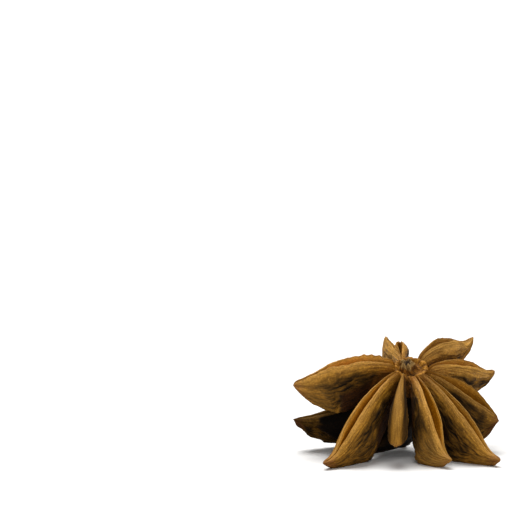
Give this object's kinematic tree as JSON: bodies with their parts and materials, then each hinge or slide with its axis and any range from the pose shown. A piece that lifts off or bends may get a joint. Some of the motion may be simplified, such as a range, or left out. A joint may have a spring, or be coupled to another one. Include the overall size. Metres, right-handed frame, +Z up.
{
  "type": "star anise pod",
  "caption": "Whole dried star anise, its boat-shaped carpels spread unevenly round a dished hub, leaning forward and resting on its lowest carpels and stalk.",
  "frame": {"origin": "under the middle of the fruit, on the surface it stands on", "axes": "+Z up, +X along its longest spread, -Y towards the side that the star's dished top leans to"},
  "size_m": [0.0374, 0.0326, 0.0197],
  "materials": {
    "husk": "dry wrinkled outer wall, satin lips and lining"
  },
  "bodies": {
    "root": {"star_anise_pod": "husk"}
  },
  "joints": []
}
